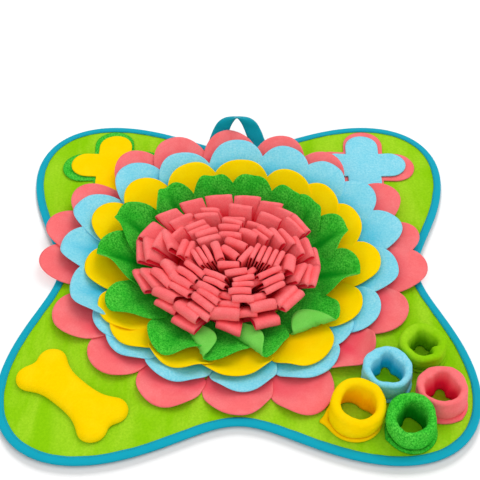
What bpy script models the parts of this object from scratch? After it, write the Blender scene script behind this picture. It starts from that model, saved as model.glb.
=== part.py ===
# A fleece snuffle mat: a four-lobed panel with a bound edge, four rows of petals round a
# cluster of folded strips, a padded bone, five treat cups and two corner flowers.
# Sizes are in millimetres until mesh_object turns them into metres. The mat lies on z = 0,
# with the front edge towards -Y.
import math
import random

import bmesh
import bpy

MM = 0.001
GAP = 0.3                     # between pieces that touch on the real mat

# Panel outline: a circle drawn out into four lobes and drawn in at four waists.
OUTLINE_MEAN = 312.3
OUTLINE_WAVES = ((4, -68.4), (8, 2.0), (12, -0.2))
OUTLINE_STEPS = 80
PANEL_TOP = 3.8
PANEL_EDGE_Z = 1.3            # underside of the thinner edge inside the binding

BINDING_WIDTH = 11.0
BINDING_TOP = 5.2
BINDING_FOLD = 2.0            # thickness at the folded edge
BINDING_LEAF = 1.0            # thickness of the leaf under the panel
BINDING_ROUND = 1.2

# Petal rows, sewn round one centre.
FLOWER_CENTRE = (-8.0, 8.0)
FLEECE = 2.0
SEAM_Z = PANEL_TOP + GAP + FLEECE / 2
SEAM_WIDTH = 7.0              # sewn strip inside each row's root
SLIT = 2.6                    # between two petals at the root
LAYER_STEP = 3.2              # height that a row gains over each row it covers
LAYER_RUN = 24.0
PETAL_HALF_WIDTH = 42.0
SHOULDER = 0.34               # share of a petal's length where its sides start to round in
ROUNDNESS = 2.4
RISE_POWER = 1.3
BACK_POWER = 1.6
CURL_START = 0.55             # share of a petal's length where its edges start to turn up

# angle: degrees round the centre from +X; tip: distance of the petal's tip from the centre
PINK_PETALS = (
    (-158, 253), (-133, 251), (-111, 246), (-88, 243), (-63, 246), (-42, 230), (-22, 246),
    (-2, 265), (13, 266), (32, 266), (54, 250), (71.5, 252), (91, 251), (111, 254),
    (128, 260), (151, 266), (164, 270), (177, 264),
)
BLUE_PETALS = (
    (-172.5, 222), (-152, 212), (-132.5, 212), (-111.5, 208), (-85, 211), (-67, 210),
    (-46, 202), (-26, 212), (-3.5, 225), (18.5, 245), (34, 240), (50, 232), (67.5, 230),
    (88, 228), (112, 216), (132, 236), (155, 244), (173, 238),
)
YELLOW_PETALS = (
    (-154, 196), (-134, 193), (-112, 189), (-88, 188), (-52, 193), (-21, 188), (3, 200),
    (24, 193), (42, 190), (60, 187), (87, 186), (110, 190), (134, 205), (157, 215), (180, 203),
)
GREEN_PETALS = (
    (-153, 181), (-119, 181), (-93, 171), (-69, 174), (-37.5, 168), (-1, 168), (18.6, 165),
    (37, 158), (56, 150), (75, 150), (103, 150), (128, 160), (153, 181), (175, 184),
)
# A petal's folds: how far its clockwise edge, its anticlockwise edge and its tip turn up,
# in degrees, where that differs from the rest of the row.
PINK_FOLDS = {-42: (105, 30, 0), -2: (30, 10, 0)}
BLUE_FOLDS = {-46: (12, 8, 0)}
YELLOW_FOLDS = {-112: (40, 30, 0), -88: (24, 40, 0), -52: (40, 20, 0)}
GREEN_FOLDS = {
    -153: (45, 70, 20), -119: (60, 40, 25), -93: (135, 60, 15), -69: (140, 60, 15),
    -37.5: (60, 80, 95), -1: (75, 90, 0), 18.6: (80, 70, 0), 153: (75, 50, 0),
    175: (80, 45, 0), 128: (60, 60, 0),
}
# root: distance of the seam; layer: rows below; front, back: height of the tips there
PETAL_ROWS = (
    {"name": "petals_pink", "root": 185, "layer": 0, "front": 7.5, "back": 33, "turn": 14,
     "columns": 5, "rows": 3, "petals": PINK_PETALS, "folds": PINK_FOLDS, "cloth": "pink"},
    {"name": "petals_blue", "root": 160, "layer": 1, "front": 11, "back": 35, "turn": 18,
     "columns": 5, "rows": 3, "petals": BLUE_PETALS, "folds": BLUE_FOLDS, "cloth": "blue"},
    {"name": "petals_yellow", "root": 135, "layer": 2, "front": 14, "back": 38, "turn": 18,
     "columns": 5, "rows": 3, "petals": YELLOW_PETALS, "folds": YELLOW_FOLDS, "cloth": "yellow"},
    {"name": "petals_green", "root": 112, "layer": 3, "front": 20, "back": 45, "turn": 50,
     "columns": 6, "rows": 4, "petals": GREEN_PETALS, "folds": GREEN_FOLDS, "cloth": "green"},
)

# Cluster of folded strips. Each row is one ring of strips, from the rim to the middle.
CLUSTER_ROOT_CENTRE = (-11.0, 2.0)
CLUSTER_TIP_CENTRE = (-15.0, -5.0)
BACKING_RADIUS = 93.0
BACKING_TOP = 7.6
BACKING_STEPS = 40
STRIP_BASE_Z = 5.5            # strips are sunk this deep into the backing
STRIP_ROOT_THICK = 6.0
STRIP_TIP_THICK = 10.5
# root radius, tip radius, tip height, strips in the ring, width at the root and at the tip
STRIP_RINGS = (
    (88, 125, 27, 16, 32, 36),
    (77, 110, 38, 14, 32, 35),
    (66, 95, 45, 12, 31, 34),
    (55, 80, 50, 10, 29, 33),
    (44, 64, 54, 9, 26, 31),
    (33, 48, 56.5, 7, 23, 28),
    (22, 32, 58.5, 5, 20, 26),
    (10, 15, 60, 3, 15, 20),
)
STRIP_BEND = 1.6              # how late a strip turns outwards
STRIP_SWAY = 2.5              # degrees that a tip may stray round the cluster
STRIP_UNEVEN = 1.5            # millimetres that a tip may stray in height
STRIP_SEED = 7

# Treat cups: place, outer radii in x and y, height, how far the rim leans, crease direction
CUPS = (
    {"cloth": "yellow", "at": (143, -234), "radii": (31, 30), "height": 40,
     "lean": (1, 2), "foot": 33, "crease": 50},
    {"cloth": "blue", "at": (184, -178), "radii": (29.5, 29.5), "height": 41,
     "lean": (-2, -5), "foot": 30.8, "crease": 80},
    {"cloth": "green", "at": (205, -253), "radii": (27.5, 29.5), "height": 43,
     "lean": (0, -2), "foot": 30.8, "crease": 65},
    {"cloth": "pink", "at": (250, -210), "radii": (29.5, 28.5), "height": 41,
     "lean": (-3, -1), "foot": 30.8, "crease": 55},
    {"cloth": "lime", "at": (234, -139), "radii": (29.5, 28.5), "height": 38,
     "lean": (-2, -4), "foot": 30.8, "crease": 115},
)
CUP_STEPS = 16
CUP_WALL = 7.0
CUP_BULGE = 1.0               # the wall is thicker halfway up
CUP_FOOT_TOP = 2.4            # top of the sewn foot, then where the wall rises from it
CUP_FOOT_BEND = 4.5
CUP_RIM_ROUND = 3.8
CREASE_DEPTH = 5.0
CREASE_WIDTH = 0.42

# Bone: a shaft with two round lobes at each end.
BONE_AT = (-205.0, -203.0)
BONE_TURN = -41.7
BONE_LOBE_X = 55.5
BONE_LOBE_Y = 17.5
BONE_LOBE_RADIUS = 19.0
BONE_SHAFT = ((0, 22.5), (18, 22.8), (32, 26))
BONE_LOBE_ARC = (132, 108, 82, 56, 30, 4, -22, -42)
BONE_NOTCH_X = 67.5
BONE_SPINE_X = 40.0           # the padding is highest between these points of the shaft
BONE_SPINE_Y = 15.0           # and at this distance from it in the lobes
# share of the way in towards the middle, height above the panel
BONE_SECTION = ((0.06, 0.0), (0.0, 4.5), (0.16, 9.5), (0.55, 12.6))

# Handle: one length of webbing, with flat ends on the binding. Right half of its middle line
HANDLE_CENTRE_X = -2.0
HANDLE_WIDTH = 25.0
HANDLE_THICK = 1.8
HANDLE_PATH = (
    (33.5, 220, 6.7), (33.5, 244, 6.7), (33.5, 254, 9.5), (33, 262.5, 18), (30, 269.5, 29),
    (23, 274, 38), (12.5, 276.5, 43.5), (0, 277, 45.5),
)
HANDLE_TOP_WIDTH_WAY = (0.0, -0.8, 0.6)
HANDLE_TWIST = 0.7            # how early the webbing turns over towards the top

# Corner flowers: four round-ended petals a layer, two layers each.
CORNER_LAYERS = (
    {"name": "flower_green", "cloth": "green", "at": (-187, 210), "length": 76, "width": 59,
     "layer": 0},
    {"name": "flower_yellow", "cloth": "yellow", "at": (-187, 210), "length": 63, "width": 49,
     "layer": 1},
    {"name": "flower_pink", "cloth": "pink", "at": (187, 210), "length": 76, "width": 59,
     "layer": 0},
    {"name": "flower_blue", "cloth": "blue", "at": (187, 210), "length": 63, "width": 49,
     "layer": 1},
)
CORNER_STEPS = 32
CORNER_HEART = 0.42           # share of the petals' length that lies flat
CORNER_LIFT = 0.8             # the upper layer's tips curl up this far

# colour (linear RGB) and roughness of each cloth
CLOTHS = {
    "lime": ((0.32, 0.62, 0.014), 0.95),
    "pink": ((0.93, 0.17, 0.17), 0.95),
    "blue": ((0.23, 0.66, 0.80), 0.95),
    "yellow": ((0.94, 0.61, 0.003), 0.95),
    "green": ((0.02, 0.42, 0.03), 0.95),
    "teal": ((0.006, 0.42, 0.53), 0.7),
}


def clear_scene():
    for old in list(bpy.data.objects):
        bpy.data.objects.remove(old, do_unlink=True)


def cloth_material(node_name, cloth):
    colour, roughness = CLOTHS[cloth]
    material = bpy.data.materials.new(node_name + "_" + cloth)
    material.use_nodes = True
    shader = material.node_tree.nodes["Principled BSDF"]
    shader.inputs["Base Color"].default_value = (*colour, 1.0)
    shader.inputs["Roughness"].default_value = roughness
    return material


def mesh_object(name, cloth, points, faces):
    """Makes one object in metres, with its faces turned outwards."""
    mesh = bpy.data.meshes.new(name)
    mesh.from_pydata([(x * MM, y * MM, z * MM) for x, y, z in points], [], faces)
    shape = bmesh.new()
    shape.from_mesh(mesh)
    bmesh.ops.recalc_face_normals(shape, faces=shape.faces)
    shape.to_mesh(mesh)
    shape.free()
    mesh.materials.append(cloth_material(name, cloth))
    mesh.shade_smooth()
    mesh.set_sharp_from_angle(angle=math.radians(40))
    obj = bpy.data.objects.new(name, mesh)
    bpy.context.scene.collection.objects.link(obj)
    return obj


def loft(name, cloth, loops, ring):
    """Skins a list of loops: a closed tube round a hole when ring is true, or a capped solid."""
    count = len(loops[0])
    points = [point for loop in loops for point in loop]
    pairs = [(k, k + 1) for k in range(len(loops) - 1)]
    if ring:
        pairs.append((len(loops) - 1, 0))
    faces = []
    for low, high in pairs:
        for i in range(count):
            j = (i + 1) % count
            faces.append((low * count + i, low * count + j, high * count + j, high * count + i))
    if not ring:
        faces.append(tuple(range(count)))
        faces.append(tuple((len(loops) - 1) * count + i for i in range(count)))
    return mesh_object(name, cloth, points, faces)


def thicken(obj, thickness):
    solid = obj.modifiers.new("Thickness", "SOLIDIFY")
    solid.thickness = thickness * MM
    solid.offset = 0.0
    return obj


def smooth_step(low, high, value):
    share = min(max((value - low) / (high - low), 0.0), 1.0)
    return share * share * (3 - 2 * share)


def bend(distance, curvature):
    """Along and up, for a strip bent into an arc."""
    if abs(curvature) < 1e-6:
        return distance, 0.0
    turn = distance * curvature
    return math.sin(turn) / curvature, (1 - math.cos(turn)) / curvature


# ---------------------------------------------------------------- panel and binding
def outline_point(angle, inset, z):
    """A point of the mat's outline, moved inwards at right angles to the edge."""
    radius = OUTLINE_MEAN
    slope = 0.0
    for waves, depth in OUTLINE_WAVES:
        radius += depth * math.cos(waves * angle)
        slope -= depth * waves * math.sin(waves * angle)
    out_x = radius * math.cos(angle) + slope * math.sin(angle)
    out_y = radius * math.sin(angle) - slope * math.cos(angle)
    length = math.hypot(out_x, out_y)
    x = radius * math.cos(angle) - inset * out_x / length
    y = radius * math.sin(angle) - inset * out_y / length
    return (x, y, z)


def outline_loops(section):
    angles = [2 * math.pi * i / OUTLINE_STEPS for i in range(OUTLINE_STEPS)]
    return [[outline_point(angle, inset, z) for angle in angles] for inset, z in section]


def make_panel():
    edge = BINDING_FOLD + GAP
    step = BINDING_WIDTH + GAP
    section = ((step, 0.0), (step, PANEL_EDGE_Z), (edge, PANEL_EDGE_Z), (edge, PANEL_TOP))
    return loft("base_panel", "lime", outline_loops(section), ring=False)


def make_binding():
    top_leaf = PANEL_TOP + GAP
    section = (
        (0.0, BINDING_ROUND),
        (0.0, BINDING_TOP - BINDING_ROUND),
        (BINDING_ROUND, BINDING_TOP),
        (BINDING_WIDTH, BINDING_TOP),
        (BINDING_WIDTH, top_leaf),
        (BINDING_FOLD, top_leaf),
        (BINDING_FOLD, BINDING_LEAF),
        (BINDING_WIDTH, BINDING_LEAF),
        (BINDING_WIDTH, 0.0),
        (BINDING_ROUND, 0.0),
    )
    return loft("binding", "teal", outline_loops(section), ring=True)


# ---------------------------------------------------------------- petal rows
def row_height(row, angle, distance, length):
    """Height of a petal's middle line: over the rows below it, then up to its tip."""
    toward_back = (1 + math.sin(angle)) / 2
    tip = row["front"] + (row["back"] - row["front"]) * toward_back ** BACK_POWER
    layers = LAYER_STEP * min(row["layer"], distance / LAYER_RUN)
    tip_layers = LAYER_STEP * min(row["layer"], length / LAYER_RUN)
    share = distance / length
    return SEAM_Z + layers + (tip - SEAM_Z - tip_layers) * share ** RISE_POWER


def petal_sides(row, index):
    """Half angles of one petal, from its neighbours' angles."""
    petals = row["petals"]
    angle, tip = petals[index]
    before = petals[index - 1][0]
    after = petals[(index + 1) % len(petals)][0]
    slit = math.degrees(SLIT / row["root"])
    widest = math.degrees(PETAL_HALF_WIDTH / tip)
    low = (angle - before) % 360 / 2 - slit / 2
    high = (after - angle) % 360 / 2 - slit / 2
    return math.radians(min(low, widest)), math.radians(min(high, widest))


def petal_point(row, index, across, along):
    """Point of a petal: across runs from -1 to 1, along from 0 at the seam to 1."""
    degrees, tip = row["petals"][index]
    low, high = petal_sides(row, index)
    turn_low, turn_high, turn_tip = row["folds"].get(degrees, (row["turn"], row["turn"], 0))
    length = tip - row["root"]
    rounded = (1 - abs(across) ** ROUNDNESS) ** (1 / ROUNDNESS)
    distance = along * length * (SHOULDER + (1 - SHOULDER) * rounded)
    curl = smooth_step(CURL_START, 1.0, distance / length)

    curl_from = CURL_START * length
    out = min(distance, curl_from)
    tip_up = 0.0
    if distance > curl_from:
        run, tip_up = bend(distance - curl_from, math.radians(turn_tip) / (length - curl_from))
        out += run
    radius = row["root"] + out

    half_angle, turn = (high, turn_high) if across > 0 else (low, turn_low)
    half_width = half_angle * radius
    sideways, side_up = bend(abs(across) * half_width, math.radians(turn) * curl / half_width)
    angle = math.radians(degrees) + math.copysign(sideways, across) / radius
    z = row_height(row, math.radians(degrees), distance, length) + tip_up + side_up
    return (
        FLOWER_CENTRE[0] + radius * math.cos(angle),
        FLOWER_CENTRE[1] + radius * math.sin(angle),
        z,
    )


def make_petal_row(row):
    """One row: a sewn strip round the flower, and a petal grid on each stretch of it."""
    columns = row["columns"]
    stations = [math.sin(math.pi / 2 * (2 * j / columns - 1)) for j in range(columns + 1)]
    per_petal = columns + 1
    total = per_petal * len(row["petals"])
    points = []
    faces = []
    for index, (degrees, _) in enumerate(row["petals"]):
        low, high = petal_sides(row, index)
        for across in stations:
            angle = math.radians(degrees) + across * (high if across > 0 else low)
            inner = row["root"] - SEAM_WIDTH
            points.append((FLOWER_CENTRE[0] + inner * math.cos(angle),
                           FLOWER_CENTRE[1] + inner * math.sin(angle), SEAM_Z))
    for index in range(len(row["petals"])):
        points += [petal_point(row, index, across, 0.0) for across in stations]
    for i in range(total):
        j = (i + 1) % total
        faces.append((i, j, total + j, total + i))
    for index in range(len(row["petals"])):
        below = total + index * per_petal
        for k in range(1, row["rows"] + 1):
            start = len(points)
            points += [petal_point(row, index, across, k / row["rows"]) for across in stations]
            for j in range(columns):
                faces.append((below + j, below + j + 1, start + j + 1, start + j))
            below = start
    return thicken(mesh_object(row["name"], row["cloth"], points, faces), FLEECE)


# ---------------------------------------------------------------- cluster of folded strips
def strip_corners(root, tip, width, thick, side, share):
    """Four corners of a strip's cross section, part of the way along its curve."""
    lean = math.atan2(math.hypot(tip[0] - root[0], tip[1] - root[1]), tip[2] - root[2])
    out = math.sin(share * math.pi / 2) ** STRIP_BEND
    x = root[0] + (tip[0] - root[0]) * out
    y = root[1] + (tip[1] - root[1]) * out
    z = root[2] + (tip[2] - root[2]) * math.sin(share * math.pi / 2)
    outward = (-side[1], side[0])
    tilt = lean * share
    flat = (-outward[0] * math.cos(tilt), -outward[1] * math.cos(tilt), math.sin(tilt))
    corners = []
    for a, b in ((-1, -1), (1, -1), (1, 1), (-1, 1)):
        corners.append((
            x + side[0] * a * width / 2 + flat[0] * b * thick / 2,
            y + side[1] * a * width / 2 + flat[1] * b * thick / 2,
            z + flat[2] * b * thick / 2,
        ))
    return corners


def make_cluster():
    """Folded strips that stand apart, with their roots fused in a round backing."""
    circle = [2 * math.pi * i / BACKING_STEPS for i in range(BACKING_STEPS)]
    loops = [[(CLUSTER_ROOT_CENTRE[0] + BACKING_RADIUS * math.cos(a),
               CLUSTER_ROOT_CENTRE[1] + BACKING_RADIUS * math.sin(a), z) for a in circle]
             for z in (PANEL_TOP + GAP, BACKING_TOP)]
    backing = loft("loops", "pink", loops, ring=False)

    chance = random.Random(STRIP_SEED)
    points = []
    faces = []
    for ring, (root_r, tip_r, tip_z, count, root_w, tip_w) in enumerate(STRIP_RINGS):
        for i in range(count):
            angle = 2 * math.pi * (i + 0.5 * (ring % 2)) / count
            tip_angle = angle + math.radians(chance.uniform(-STRIP_SWAY, STRIP_SWAY))
            height = tip_z + chance.uniform(-STRIP_UNEVEN, STRIP_UNEVEN)
            side = (math.sin(angle), -math.cos(angle))
            root = (CLUSTER_ROOT_CENTRE[0] + root_r * math.cos(angle),
                    CLUSTER_ROOT_CENTRE[1] + root_r * math.sin(angle), STRIP_BASE_Z)
            tip = (CLUSTER_TIP_CENTRE[0] + tip_r * math.cos(tip_angle),
                   CLUSTER_TIP_CENTRE[1] + tip_r * math.sin(tip_angle), height)
            start = len(points)
            for share in (0.0, 0.5, 1.0):
                width = root_w + (tip_w - root_w) * share
                thick = STRIP_ROOT_THICK + (STRIP_TIP_THICK - STRIP_ROOT_THICK) * share
                points += strip_corners(root, tip, width, thick, side, share)
            for level in (0, 4):
                for k in range(4):
                    a = start + level + k
                    b = start + level + (k + 1) % 4
                    faces.append((a, b, b + 4, a + 4))
            faces.append(tuple(start + k for k in (3, 2, 1, 0)))
            faces.append(tuple(start + 8 + k for k in range(4)))
    strips = mesh_object("loop_strips", "pink", points, faces)
    strips.hide_render = True
    strips.display_type = "WIRE"
    fuse = backing.modifiers.new("Strips", "BOOLEAN")
    fuse.operation = "UNION"
    fuse.object = strips
    return backing


# ---------------------------------------------------------------- treat cups
def make_cup(cup):
    """A rolled tube with a round rim, a sewn foot and a crease down its inside."""
    bottom = PANEL_TOP + GAP
    height = cup["height"]
    foot = cup["foot"] - min(cup["radii"])
    # inset from the body's radius, height
    section = (
        (-foot, bottom), (-foot, bottom + CUP_FOOT_TOP), (GAP, bottom + CUP_FOOT_BEND),
        (0.0, height * 0.6), (2 * GAP, height - CUP_RIM_ROUND), (CUP_WALL / 2, height),
        (CUP_WALL, height - CUP_RIM_ROUND), (CUP_WALL + CUP_BULGE, height / 2),
        (CUP_WALL, bottom),
    )
    loops = []
    for inset, z in section:
        lean = (z - bottom) / (height - bottom)
        centre_x = cup["at"][0] + cup["lean"][0] * lean
        centre_y = cup["at"][1] + cup["lean"][1] * lean
        loop = []
        for i in range(CUP_STEPS):
            angle = 2 * math.pi * i / CUP_STEPS
            from_crease = math.remainder(angle - math.radians(cup["crease"]), 2 * math.pi)
            crease = 0.0
            if inset >= CUP_WALL and z > bottom:
                crease = CREASE_DEPTH * math.exp(-(from_crease / CREASE_WIDTH) ** 2)
            radius_x = cup["radii"][0] - inset - crease
            radius_y = cup["radii"][1] - inset - crease
            if inset < 0:
                radius_x = radius_y = cup["foot"]
            loop.append((centre_x + radius_x * math.cos(angle),
                         centre_y + radius_y * math.sin(angle), z))
        loops.append(loop)
    return loft("cup_" + cup["cloth"], cup["cloth"], loops, ring=True)


# ---------------------------------------------------------------- bone
def bone_quarter():
    """Outline and inward anchor of each point in the quarter with positive x and y."""
    quarter = [((x, y), (x, 0.0)) for x, y in BONE_SHAFT]
    for degrees in BONE_LOBE_ARC:
        angle = math.radians(degrees)
        point = (BONE_LOBE_X + BONE_LOBE_RADIUS * math.cos(angle),
                 BONE_LOBE_Y + BONE_LOBE_RADIUS * math.sin(angle))
        quarter.append((point, (BONE_LOBE_X, BONE_SPINE_Y)))
    quarter.append(((BONE_NOTCH_X, 0.0), (BONE_SPINE_X, 0.0)))
    return quarter


def make_bone():
    quarter = bone_quarter()
    right = quarter + [((x, -y), (ax, -ay)) for (x, y), (ax, ay) in reversed(quarter[:-1])]
    left = [((-x, -y), (-ax, -ay)) for (x, y), (ax, ay) in right]
    outline = right + left[1:-1]
    turn = math.radians(BONE_TURN)
    loops = []
    for share, z in BONE_SECTION:
        loop = []
        for (x, y), (anchor_x, anchor_y) in outline:
            px = x + (anchor_x - x) * share
            py = y + (anchor_y - y) * share
            loop.append((BONE_AT[0] + px * math.cos(turn) - py * math.sin(turn),
                         BONE_AT[1] + px * math.sin(turn) + py * math.cos(turn),
                         PANEL_TOP + GAP + z))
        loops.append(loop)
    return loft("bone", "yellow", loops, ring=False)


# ---------------------------------------------------------------- handle
def smooth_path(path):
    """A Catmull-Rom curve through the points, with one more point halfway along each span."""
    smooth = [path[0]]
    for i in range(len(path) - 1):
        a = path[max(i - 1, 0)]
        b = path[i]
        c = path[i + 1]
        d = path[min(i + 2, len(path) - 1)]
        smooth.append(tuple((9 * (q + r) - p - s) / 16 for p, q, r, s in zip(a, b, c, d)))
        smooth.append(c)
    return smooth


def make_handle():
    """A flat ribbon that rises from two sewn ends and turns over at the top."""
    right = list(HANDLE_PATH)
    path = smooth_path([(-x, y, z) for x, y, z in right[:-1]] + [right[-1]] + right[-2::-1])
    loops = []
    for i, (x, y, z) in enumerate(path):
        before = path[max(i - 1, 0)]
        after = path[min(i + 1, len(path) - 1)]
        along = [b - a for a, b in zip(before, after)]
        length = math.sqrt(sum(c * c for c in along))
        along = [c / length for c in along]
        over_top = max(1 - abs(x) / HANDLE_PATH[0][0], 0.0) ** HANDLE_TWIST
        inward = (math.copysign(1 - over_top, -x), 0.0, 0.0)
        side = [a + over_top * b for a, b in zip(inward, HANDLE_TOP_WIDTH_WAY)]
        dot = sum(a * b for a, b in zip(side, along))
        side = [a - dot * b for a, b in zip(side, along)]
        length = math.sqrt(sum(c * c for c in side))
        side = [c / length for c in side]
        face = [along[1] * side[2] - along[2] * side[1],
                along[2] * side[0] - along[0] * side[2],
                along[0] * side[1] - along[1] * side[0]]
        loop = []
        for a, b in ((-1, -1), (1, -1), (1, 1), (-1, 1)):
            loop.append(tuple(p + s * a * HANDLE_WIDTH / 2 + f * b * HANDLE_THICK / 2
                              for p, s, f in zip((x + HANDLE_CENTRE_X, y, z), side, face)))
        loops.append(loop)
    return loft("handle", "teal", loops, ring=False)


# ---------------------------------------------------------------- corner flowers
def clover_radius(angle, length, width):
    """Outline of four round-ended petals in a cross."""
    off_axis = abs(math.remainder(angle, math.pi / 2))
    round_r = width / 2
    centre = length - round_r
    if off_axis > math.atan2(round_r, centre):
        return round_r / math.sin(off_axis)
    return centre * math.cos(off_axis) + math.sqrt(round_r ** 2
                                                   - (centre * math.sin(off_axis)) ** 2)


def make_corner_layer(layer):
    sew_z = SEAM_Z + layer["layer"] * (FLEECE + GAP)
    points = []
    for share, lift in ((CORNER_HEART, 0.0), (1.0, CORNER_LIFT * layer["layer"])):
        for i in range(CORNER_STEPS):
            angle = 2 * math.pi * i / CORNER_STEPS
            radius = share * clover_radius(angle, layer["length"], layer["width"])
            points.append((layer["at"][0] + radius * math.cos(angle),
                           layer["at"][1] + radius * math.sin(angle), sew_z + lift))
    faces = [tuple(range(CORNER_STEPS))]
    for i in range(CORNER_STEPS):
        j = (i + 1) % CORNER_STEPS
        faces.append((i, j, CORNER_STEPS + j, CORNER_STEPS + i))
    return thicken(mesh_object(layer["name"], layer["cloth"], points, faces), FLEECE)


clear_scene()
make_panel()
make_binding()
for petal_row in PETAL_ROWS:
    make_petal_row(petal_row)
make_cluster()
for treat_cup in CUPS:
    make_cup(treat_cup)
make_bone()
make_handle()
for corner_layer in CORNER_LAYERS:
    make_corner_layer(corner_layer)
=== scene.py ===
import bmesh
import bpy
import math
import random
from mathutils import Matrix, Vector, noise


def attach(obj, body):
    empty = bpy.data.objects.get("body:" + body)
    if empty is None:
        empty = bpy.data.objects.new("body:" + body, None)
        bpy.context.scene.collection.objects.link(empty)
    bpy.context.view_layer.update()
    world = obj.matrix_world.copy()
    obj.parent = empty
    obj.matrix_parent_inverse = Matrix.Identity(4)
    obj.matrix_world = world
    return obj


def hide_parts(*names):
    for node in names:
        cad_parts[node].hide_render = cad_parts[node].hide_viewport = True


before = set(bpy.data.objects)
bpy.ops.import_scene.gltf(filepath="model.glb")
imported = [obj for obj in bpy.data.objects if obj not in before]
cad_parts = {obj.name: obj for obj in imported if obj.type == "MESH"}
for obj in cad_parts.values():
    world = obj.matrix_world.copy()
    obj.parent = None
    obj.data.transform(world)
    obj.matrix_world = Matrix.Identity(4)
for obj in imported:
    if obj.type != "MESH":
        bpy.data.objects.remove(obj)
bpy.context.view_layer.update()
print("frame loaded:", len(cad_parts), "nodes")

mm = 0.001


def linear(hexColour):
    # a screen colour in the linear values that shaders take
    channels = [int(hexColour[k:k + 2], 16) / 255 for k in (1, 3, 5)]
    return tuple(c / 12.92 if c <= 0.04045 else ((c + 0.055) / 1.055) ** 2.4
                 for c in channels) + (1.0,)


def smoothStep(low, high, value):
    share = min(max((value - low) / (high - low), 0.0), 1.0)
    return share * share * (3 - 2 * share)


def mixed(a, b, share):
    return a + (b - a) * share


def waver(x, y, z, size):
    # smooth unevenness from -1 to 1, with bumps about `size` millimetres across; where a
    # fixed z is given, it only picks one of many patterns
    return noise.noise(Vector((x / size, y / size, z / size)))


def fullTurn(steps):
    # equally spaced angles round a full turn
    return [2 * math.pi * i / steps for i in range(steps)]


def meshPiece(name, points, faces, materials):
    # points are in millimetres; the piece sits at the origin, in metres
    mesh = bpy.data.meshes.new(name)
    mesh.from_pydata([(x * mm, y * mm, z * mm) for x, y, z in points], [], faces)
    for material in materials:
        mesh.materials.append(material)
    mesh.shade_smooth()
    piece = bpy.data.objects.new(name, mesh)
    bpy.context.scene.collection.objects.link(piece)
    return piece


def addGrid(points, faces, rows, closed=False):
    # adds rows of points, joined in quads; closed joins each row's last point to its first
    start = len(points)
    count = len(rows[0])
    for row in rows:
        points.extend(row)
    for r in range(len(rows) - 1):
        for c in range(count if closed else count - 1):
            d = (c + 1) % count
            a = start + r * count
            faces.append((a + c, a + d, a + count + d, a + count + c))


def gridPiece(name, rows, materials, closed=False, lids=()):
    # a piece of one grid; a lid is a row that one face closes
    points = []
    faces = []
    addGrid(points, faces, rows, closed)
    for lid in lids:
        first = lid % len(rows) * len(rows[0])
        faces.append(tuple(range(first, first + len(rows[0]))))
    return meshPiece(name, points, faces, materials)


def paintShade(piece, values):
    # painted shade: how far each point lies in a fold or under other cloth; the colour there is
    # tinted toward the shade colour
    shade = piece.data.attributes.new("shade", "FLOAT", "POINT")
    shade.data.foreach_set("value", values)


def faceOutward(piece):
    # turns the faces of a form that bulges upwards so that all of them look outwards
    mesh = piece.data
    shape = bmesh.new()
    shape.from_mesh(mesh)
    bmesh.ops.recalc_face_normals(shape, faces=shape.faces)
    shape.to_mesh(mesh)
    shape.free()


def applyModifiers(piece):
    graph = bpy.context.evaluated_depsgraph_get()
    mesh = bpy.data.meshes.new_from_object(piece.evaluated_get(graph))
    piece.modifiers.clear()
    piece.vertex_groups.clear()
    old = piece.data
    piece.data = mesh
    bpy.data.meshes.remove(old)
    mesh.name = piece.name


def thicken(piece, thickness, backMaterial=0, softEdge=0.5):
    # gives a cloth its thickness in millimetres, thinner at cut edges so that they look soft
    mesh = piece.data
    used = {}
    for polygon in mesh.polygons:
        for key in polygon.edge_keys:
            used[key] = used.get(key, 0) + 1
    border = {v for key, count in used.items() if count == 1 for v in key}
    inside = [v.index for v in mesh.vertices if v.index not in border]
    group = piece.vertex_groups.new(name="body")
    group.add(inside, 1.0, "REPLACE")
    group.add(list(border), softEdge, "REPLACE")
    solid = piece.modifiers.new("thickness", "SOLIDIFY")
    solid.thickness = thickness * mm
    solid.offset = 0.0
    solid.vertex_group = group.name
    solid.material_offset = backMaterial
    applyModifiers(piece)


def dress(piece, slot, *nodes):
    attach(piece, "root")
    if nodes:
        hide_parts(*nodes)


def newMaterial(name, roughness, gloss=0.5):
    material = bpy.data.materials.new(name)
    material.use_nodes = True
    shader = material.node_tree.nodes["Principled BSDF"]
    shader.inputs["Roughness"].default_value = roughness
    shader.inputs["Specular IOR Level"].default_value = gloss
    return material, material.node_tree, shader


def addNode(tree, kind, inputs=None, **settings):
    # an input is a value, or the socket that is linked to it
    node = tree.nodes.new(kind)
    for name, value in settings.items():
        setattr(node, name, value)
    for socket, value in (inputs or {}).items():
        if isinstance(value, bpy.types.NodeSocket):
            tree.links.new(value, node.inputs[socket])
        else:
            node.inputs[socket].default_value = value
    return node


def addNoise(tree, place, scale, detail, roughness=0.5, distortion=0.0):
    return addNode(tree, "ShaderNodeTexNoise",
                   {"Vector": place, "Scale": scale, "Detail": detail, "Roughness": roughness,
                    "Distortion": distortion}).outputs["Fac"]


def addTone(tree, value, low, high, most):
    # spreads the values between low and high softly over 0 to `most`
    return addNode(tree, "ShaderNodeMapRange",
                   {"Value": value, "From Min": low, "From Max": high, "To Max": most},
                   interpolation_type="SMOOTHSTEP").outputs["Result"]


def addColours(tree, share, first, second):
    return addNode(tree, "ShaderNodeMix", data_type="RGBA",
                   inputs={"Factor": share, "A": first, "B": second}).outputs["Result"]


def addProduct(tree, first, second):
    return addNode(tree, "ShaderNodeMath", {0: first, 1: second},
                   operation="MULTIPLY").outputs["Value"]


def addBump(tree, shader, height, strength, depth):
    bump = addNode(tree, "ShaderNodeBump",
                   {"Height": height, "Strength": strength, "Distance": depth * mm})
    tree.links.new(bump.outputs["Normal"], shader.inputs["Normal"])


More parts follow.
